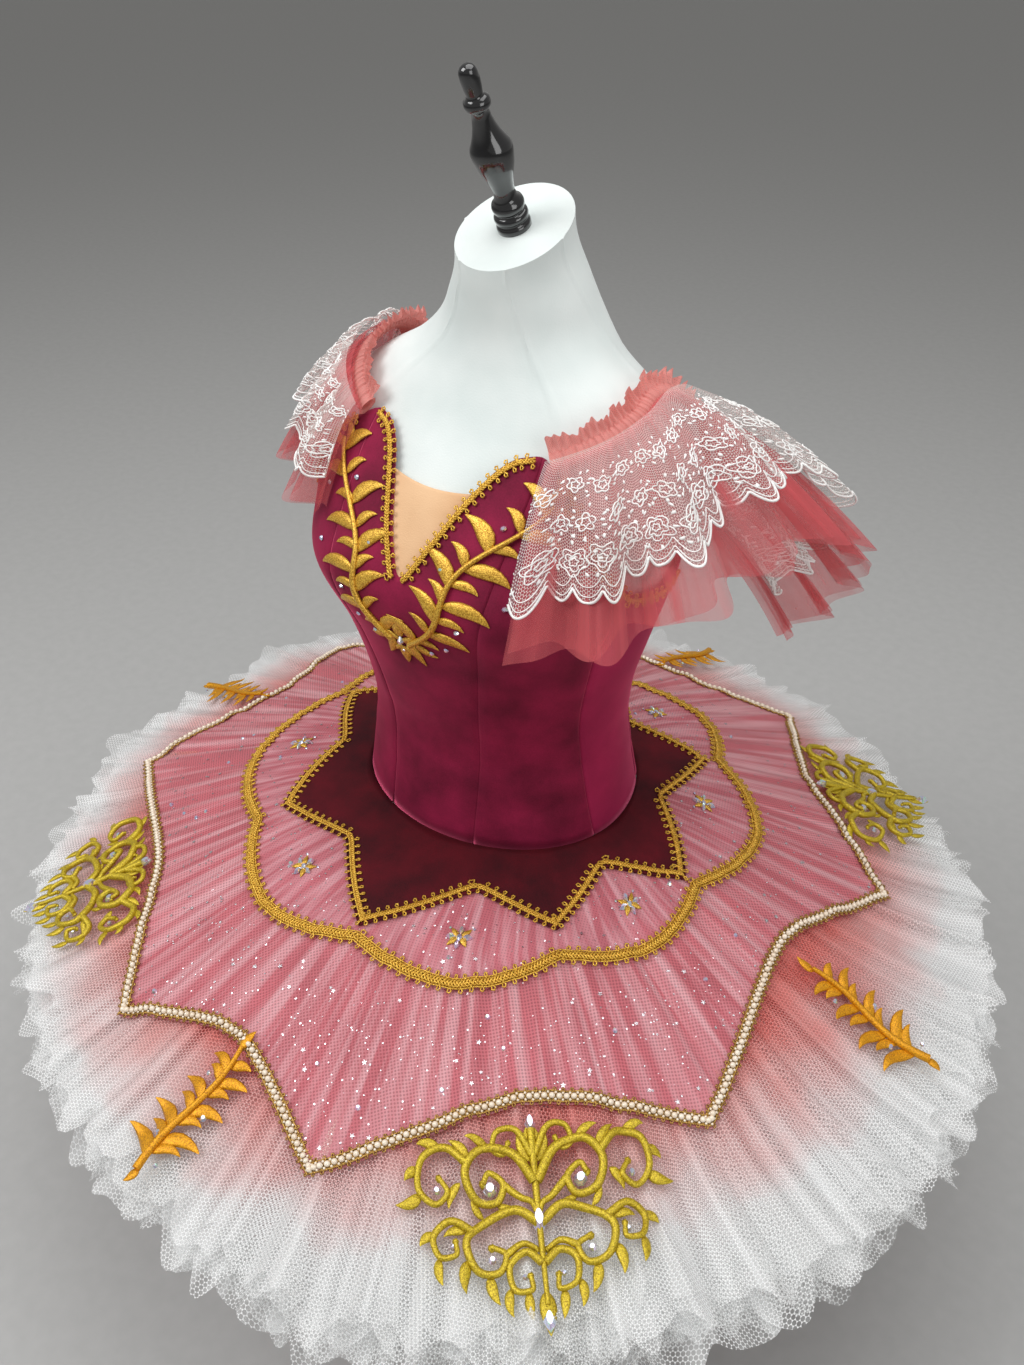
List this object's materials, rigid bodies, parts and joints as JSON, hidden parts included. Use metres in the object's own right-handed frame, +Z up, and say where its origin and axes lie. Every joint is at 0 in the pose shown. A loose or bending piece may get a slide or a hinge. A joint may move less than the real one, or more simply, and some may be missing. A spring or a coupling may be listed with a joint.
{
  "type": "ballet tutu on a dress form",
  "caption": "Classical pancake tutu with a velvet bodice, star-edged overlays and net skirt, on a limbless dress form.",
  "frame": {"origin": "centre of the stand base's underside, on the floor under the form's axis", "axes": "+Z up; the garment's front faces -Y and the wearer's left is +X"},
  "size_m": [0.9711, 0.9352, 1.044],
  "materials": {
    "velvet": "burgundy stretch velvet",
    "dark_velvet": "deep wine velvet",
    "pink_tulle": "glitter tulle",
    "white_net": "stiff net",
    "sleeve_net": "soft tulle",
    "lace": "embroidered net",
    "nude_mesh": "matte mesh",
    "gold_trim": "metallic thread",
    "pearl_trim": "metallic and pearl thread",
    "form_cover": "smooth jersey",
    "turned_wood": "gloss black lacquer",
    "stand_metal": "satin black"
  },
  "bodies": {
    "root": {"back_braid": "gold_trim", "basque_star": "dark_velvet", "bodice_back_left": "velvet", "bodice_back_right": "velvet", "bodice_front_centre": "velvet", "bodice_front_side_left": "velvet", "bodice_front_side_right": "velvet", "bodice_side_left": "velvet", "bodice_side_right": "velvet", "branch_1": "gold_trim", "branch_2": "gold_trim", "branch_3": "gold_trim", "branch_4": "gold_trim", "bust_spray_left": "gold_trim", "bust_spray_right": "gold_trim", "centre_drop": "gold_trim", "crystal_flower_1": "gold_trim", "crystal_flower_2": "gold_trim", "crystal_flower_3": "gold_trim", "crystal_flower_4": "gold_trim", "crystal_flower_5": "gold_trim", "crystal_flower_6": "gold_trim", "crystal_flower_7": "gold_trim", "crystal_flower_8": "gold_trim", "form_finial": "turned_wood", "form_torso": "form_cover", "hip_yoke": "white_net", "medallion_1": "gold_trim", "medallion_2": "gold_trim", "medallion_3": "gold_trim", "medallion_4": "gold_trim", "neck_braid_left": "gold_trim", "neck_braid_right": "gold_trim", "net_1": "white_net", "net_2": "white_net", "net_3": "white_net", "net_4": "white_net", "net_5": "white_net", "outer_overlay": "pink_tulle", "overlay_braid": "pearl_trim", "petal_braid": "gold_trim", "petal_overlay": "pink_tulle", "side_braid_left": "gold_trim", "side_braid_right": "gold_trim", "sleeve_heading_left": "sleeve_net", "sleeve_heading_right": "sleeve_net", "sleeve_lace_left": "lace", "sleeve_lace_right": "lace", "sleeve_net_left": "sleeve_net", "sleeve_net_right": "sleeve_net", "stand_base": "stand_metal", "stand_pole": "stand_metal", "star_braid": "gold_trim", "v_insert": "nude_mesh"}
  },
  "joints": []
}
